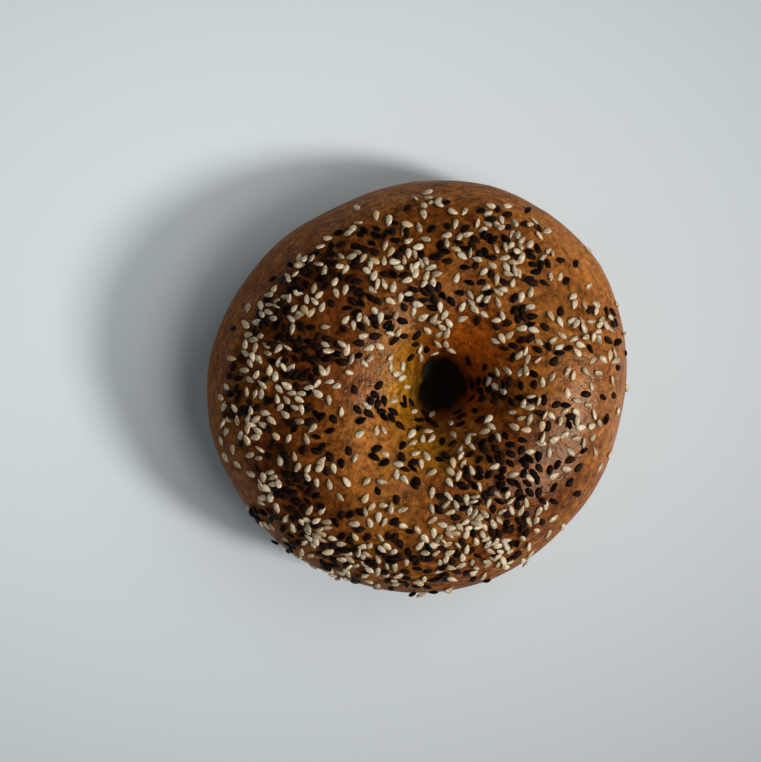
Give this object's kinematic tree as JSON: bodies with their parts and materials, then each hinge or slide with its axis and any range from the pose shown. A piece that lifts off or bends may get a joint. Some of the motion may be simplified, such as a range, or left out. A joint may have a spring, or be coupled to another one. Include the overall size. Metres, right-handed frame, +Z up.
{
  "type": "bagel",
  "caption": "Plump baked bread ring with a small off-centre hole, a smooth crust and a seeded top, lying on its flat foot.",
  "frame": {"origin": "under the middle of the ring, on the surface it lies on", "axes": "+Z up out of the seeded top, the hole lies towards +X from the origin"},
  "size_m": [0.1101, 0.1082, 0.0396],
  "materials": {
    "crust": "baked crust, glossy brown, finely wrinkled",
    "white_sesame": "satin ivory seed coat",
    "black_sesame": "satin black seed coat, finely pitted"
  },
  "bodies": {
    "root": {"bagel": "crust"}
  },
  "joints": []
}
